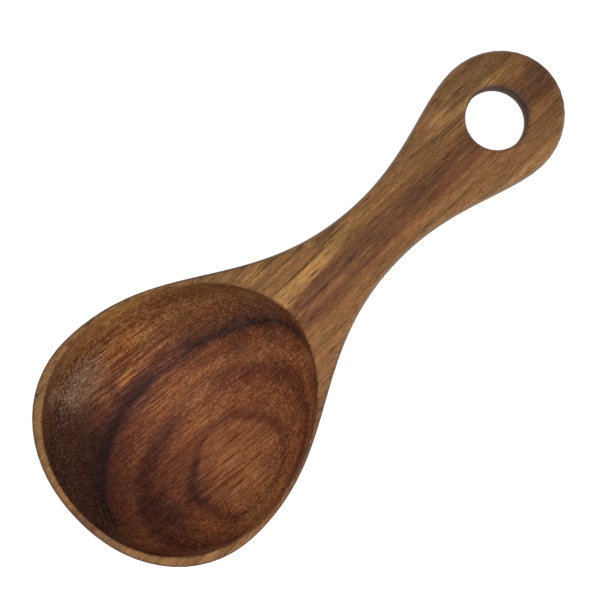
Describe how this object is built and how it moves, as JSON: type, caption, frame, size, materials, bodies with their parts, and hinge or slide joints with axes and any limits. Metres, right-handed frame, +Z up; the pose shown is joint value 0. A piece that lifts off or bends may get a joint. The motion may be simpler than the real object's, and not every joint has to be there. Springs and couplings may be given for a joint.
{
  "type": "wooden serving spoon",
  "caption": "Solid carved wooden serving spoon with a deep egg-shaped bowl, a flat waisted handle and a round hanging hole.",
  "frame": {"origin": "on the table under the middle of the box round the spoon, which lies at rest on the underside of its bowl and the tip of its handle", "axes": "+X from the bowl towards the tip of the handle, +Z up from the table, the spoon's own plane of symmetry at Y = 0"},
  "size_m": [0.21, 0.087, 0.0459],
  "materials": {
    "oiled_wood": "sanded hardwood with a satin oil finish"
  },
  "bodies": {
    "root": {"spoon_body": "oiled_wood"}
  },
  "joints": []
}
